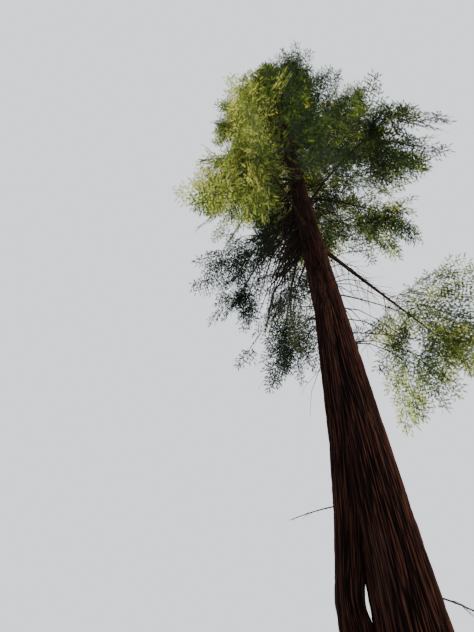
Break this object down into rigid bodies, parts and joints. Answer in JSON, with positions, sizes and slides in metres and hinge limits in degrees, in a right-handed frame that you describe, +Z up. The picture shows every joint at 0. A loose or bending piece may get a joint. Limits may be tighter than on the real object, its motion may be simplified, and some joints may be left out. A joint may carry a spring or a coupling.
{
  "type": "redwood tree",
  "caption": "Tall redwood tree with a flared foot, a side stem fused to its leaning trunk, a clear lower trunk and a narrow crown of sagging boughs with needle sprays.",
  "frame": {"origin": "on the flat ground cut, under the main trunk's axis", "axes": "+Z up; +X to the right and -Y towards a person who looks up at the tree from the side shown in the picture"},
  "size_m": [9.423, 10.0224, 40.0005],
  "materials": {
    "bark": "deeply ridged fibrous bark",
    "dead_wood": "weathered bare wood",
    "needle_sprays": "flat sprays of green needles"
  },
  "bodies": {
    "root": {"bough_01": "bark", "bough_02": "bark", "bough_03": "bark", "bough_04": "bark", "bough_05": "bark", "bough_06": "bark", "bough_07": "bark", "bough_08": "bark", "bough_09": "bark", "bough_10": "bark", "bough_11": "bark", "bough_12": "bark", "bough_13": "bark", "bough_14": "bark", "broken_stub": "dead_wood", "crown_top": "needle_sprays", "dead_limb_high_right": "dead_wood", "dead_limb_low_left": "dead_wood", "dead_limb_low_right": "dead_wood", "dead_limb_right": "dead_wood", "foliage_01": "needle_sprays", "foliage_02": "needle_sprays", "foliage_03": "needle_sprays", "foliage_04": "needle_sprays", "foliage_05": "needle_sprays", "foliage_06": "needle_sprays", "foliage_07": "needle_sprays", "foliage_08": "needle_sprays", "foliage_09": "needle_sprays", "foliage_10": "needle_sprays", "foliage_11": "needle_sprays", "foliage_12": "needle_sprays", "foliage_13": "needle_sprays", "foliage_14": "needle_sprays", "foliage_15": "needle_sprays", "foliage_16": "needle_sprays", "foliage_17": "needle_sprays", "foliage_18": "needle_sprays", "foliage_19": "needle_sprays", "foliage_20": "needle_sprays", "foliage_21": "needle_sprays", "foliage_22": "needle_sprays", "foliage_23": "needle_sprays", "foliage_24": "needle_sprays", "foliage_25": "needle_sprays", "foliage_26": "needle_sprays", "foliage_27": "needle_sprays", "foliage_28": "needle_sprays", "foliage_29": "needle_sprays", "foliage_30": "needle_sprays", "side_stem": "bark", "trunk": "bark"}
  },
  "joints": []
}
